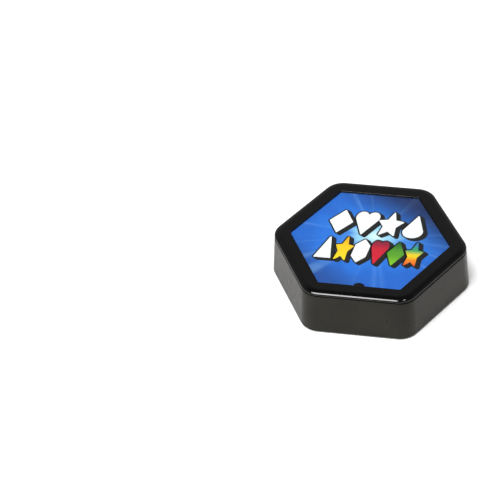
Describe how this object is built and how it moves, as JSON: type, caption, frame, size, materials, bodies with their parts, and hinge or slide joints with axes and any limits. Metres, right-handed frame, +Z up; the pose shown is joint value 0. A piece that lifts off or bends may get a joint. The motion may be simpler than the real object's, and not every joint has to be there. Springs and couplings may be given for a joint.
{
  "type": "quiz buzzer",
  "caption": "Low hexagonal quiz buzzer: a satin dark housing with a glossy black press-down cap round a printed blue card under a clear window.",
  "frame": {"origin": "middle of the footprint at table height, under the centre of the hexagonal cap", "axes": "+Z up out of the cap; the label reads along +X, with two corners of the hexagon on the X axis; the front flat, with the cap's locating key, faces -Y"},
  "size_m": [0.0918, 0.082, 0.0227],
  "materials": {
    "satin_housing": "fine satin moulded texture",
    "gloss_cap": "polished",
    "clear_window": "clear polished acrylic",
    "printed_card": "four-colour print under a gloss varnish",
    "milky_diffuser": "translucent milky sheet",
    "board": "green solder mask on glass fibre",
    "dark_plastic": "moulded",
    "white_plastic": "moulded",
    "steel": "zinc plated",
    "nickel": "nickel plated",
    "rubber_foot": "matt",
    "cell_wrap": "printed wrap",
    "paper_cone": "pressed paper",
    "red_lead": "PVC",
    "black_lead": "PVC"
  },
  "bodies": {
    "base_unit": {"base_plate": "satin_housing", "base_screw_1": "steel", "base_screw_2": "steel", "base_screw_3": "steel", "battery_1": "cell_wrap", "battery_2": "cell_wrap", "battery_contact_negative": "nickel", "battery_contact_positive": "nickel", "battery_link": "nickel", "battery_spring_1": "nickel", "battery_spring_2": "nickel", "board_screw_1": "steel", "board_screw_2": "steel", "board_screw_3": "steel", "capacitor": "dark_plastic", "circuit_board": "board", "housing": "satin_housing", "light_1": "white_plastic", "light_2": "white_plastic", "light_3": "white_plastic", "light_4": "white_plastic", "light_5": "white_plastic", "light_6": "white_plastic", "power_switch_body": "dark_plastic", "push_switch_body": "dark_plastic", "return_spring_1": "steel", "return_spring_2": "steel", "return_spring_3": "steel", "rubber_foot_1": "rubber_foot", "rubber_foot_2": "rubber_foot", "rubber_foot_3": "rubber_foot", "sound_chip": "dark_plastic", "speaker_basket": "steel", "speaker_cone": "paper_cone", "speaker_lead_1": "red_lead", "speaker_lead_2": "black_lead", "speaker_magnet": "steel"},
    "cap": {"press_cap": "gloss_cap", "label_card": "printed_card", "clear_window": "clear_window", "light_diffuser": "milky_diffuser", "guide_screw_1": "steel", "guide_screw_2": "steel", "guide_screw_3": "steel", "guide_washer_1": "steel", "guide_washer_2": "steel", "guide_washer_3": "steel"},
    "switch_plunger": {"push_switch_plunger": "white_plastic"},
    "power_slider": {"power_switch_knob": "dark_plastic"},
    "battery_hatch": {"battery_door": "satin_housing", "battery_door_screw": "steel"}
  },
  "joints": [
    {"name": "cap_press", "type": "slide", "parent": "base_unit", "child": "cap", "axis": [0, 0, -1], "range_m": [0, 0.0007], "stiffness_N_per_m": 2200, "springref_m": -0.0007, "deforming": ["return_spring_1", "return_spring_2", "return_spring_3"]},
    {"name": "plunger_press", "type": "slide", "parent": "base_unit", "child": "switch_plunger", "axis": [0, 0, -1], "range_m": [0, 0.0007]},
    {"name": "power_slide", "type": "slide", "parent": "base_unit", "child": "power_slider", "axis": [0, 1, 0], "range_m": [0, 0.002]},
    {"name": "battery_door_hinge", "type": "hinge", "parent": "base_unit", "child": "battery_hatch", "pos_m": [0, 0.0251, 0.0014], "axis": [1, 0, 0], "range_deg": [0, 100]}
  ],
  "couplings": [
    {"joint": "plunger_press", "follows": "cap_press", "ratio": 1}
  ]
}
